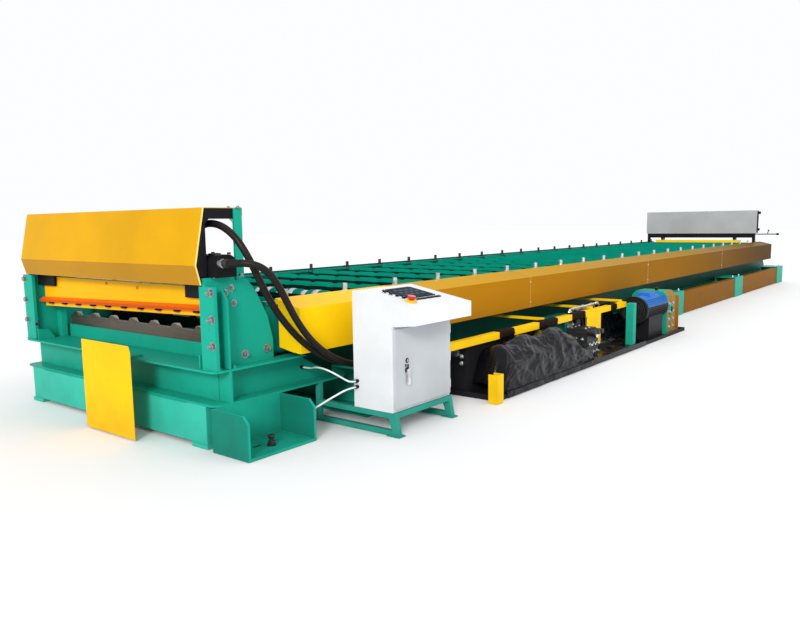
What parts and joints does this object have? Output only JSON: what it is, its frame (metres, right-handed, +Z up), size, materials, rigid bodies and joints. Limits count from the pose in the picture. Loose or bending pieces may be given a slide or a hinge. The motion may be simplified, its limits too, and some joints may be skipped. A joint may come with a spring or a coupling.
{
  "type": "roll forming machine",
  "caption": "Long roof panel roll forming machine with covered roll bed, hydraulic profile shear under a folded hood, side drive and a sloping control cabinet.",
  "frame": {"origin": "on the floor under the middle cross sleeper, on the centre line of the roll bed", "axes": "+X along the bed from the shear at the outlet to the infeed end, -Y the operator side with the cabinet, +Z up"},
  "size_m": [11.585, 2.653, 1.157],
  "materials": {
    "green": "smooth machine enamel",
    "dark_green": "smooth machine enamel",
    "yellow": "smooth machine enamel",
    "ochre": "smooth machine enamel",
    "orange": "smooth machine enamel",
    "grey_sheet": "satin",
    "black_metal": "satin",
    "blue_paint": "smooth",
    "white_paint": "powder coat",
    "tool_steel": "ground and darkened",
    "zinc": "zinc plated",
    "chrome": "polished",
    "black_iron": "machined",
    "screen": "glossy",
    "red_plastic": "glossy",
    "yellow_plastic": "glossy",
    "soft_plastic": "creased sheet",
    "hose_rubber": "matte",
    "white_cable": "smooth"
  },
  "bodies": {
    "frame": {"bed_rails": "dark_green", "bed_sleepers": "green", "kick_panels": "ochre", "side_walls": "green", "cap_bars": "green", "bearing_blocks": "black_iron", "upper_rolls": "green", "lower_rolls": "chrome", "tie_bars": "green", "adjusting_screws": "zinc", "front_cover": "yellow", "side_cover_near": "ochre", "side_cover_far": "ochre", "shear_base_frame": "green", "shear_skirt": "green", "foot_bracket": "green", "shear_cheek_near": "green", "shear_cheek_far": "green", "shear_crosshead": "green", "shear_cylinders": "black_metal", "lower_die": "tool_steel", "blade_guides": "black_metal", "guide_columns": "green", "die_support": "green", "drop_plate": "yellow", "shear_hood": "yellow", "hood_ends": "black_metal", "hood_posts": "green", "infeed_panel": "grey_sheet", "infeed_frame": "black_metal", "infeed_bar": "yellow", "infeed_lever": "black_metal", "cabinet_body": "white_paint", "control_screen": "screen", "stop_ring": "yellow_plastic", "cabinet_stand": "green", "drip_tray": "black_metal", "oil_tank": "black_metal", "soft_cover": "soft_plastic", "valve_block": "zinc", "drive_motor": "blue_paint", "drive_gearbox": "green", "guard_rail": "yellow", "end_guards": "ochre", "guard_post": "yellow", "drive_post": "green", "hose_ports": "zinc", "cable_glands": "black_metal", "hose_upper": "hose_rubber", "hose_lower": "hose_rubber", "cable_upper": "white_cable", "cable_lower": "white_cable"},
    "shear_blade": {"blade_beam": "yellow", "clamp_bar": "orange", "upper_blade": "tool_steel", "cylinder_rods": "chrome"},
    "cabinet_door_leaf": {"cabinet_door": "white_paint"},
    "handle": {"door_handle": "chrome"},
    "stop_head": {"stop_button": "red_plastic"}
  },
  "joints": [
    {"name": "shear_stroke", "type": "slide", "parent": "frame", "child": "shear_blade", "axis": [0, 0, 1], "range_m": [-0.082, 0]},
    {"name": "cabinet_door_hinge", "type": "hinge", "parent": "frame", "child": "cabinet_door_leaf", "pos_m": [-4.829, -1.4385, 0.33], "axis": [0, 0, 1], "range_deg": [0, 110]},
    {"name": "door_handle_turn", "type": "hinge", "parent": "cabinet_door_leaf", "child": "handle", "pos_m": [-5.204, -1.4485, 0.318], "axis": [0, -1, 0], "range_deg": [0, 90]},
    {"name": "stop_press", "type": "slide", "parent": "frame", "child": "stop_head", "axis": [0, 0.1855, -0.9826], "range_m": [0, 0.004], "stiffness_N_per_m": 2500}
  ]
}
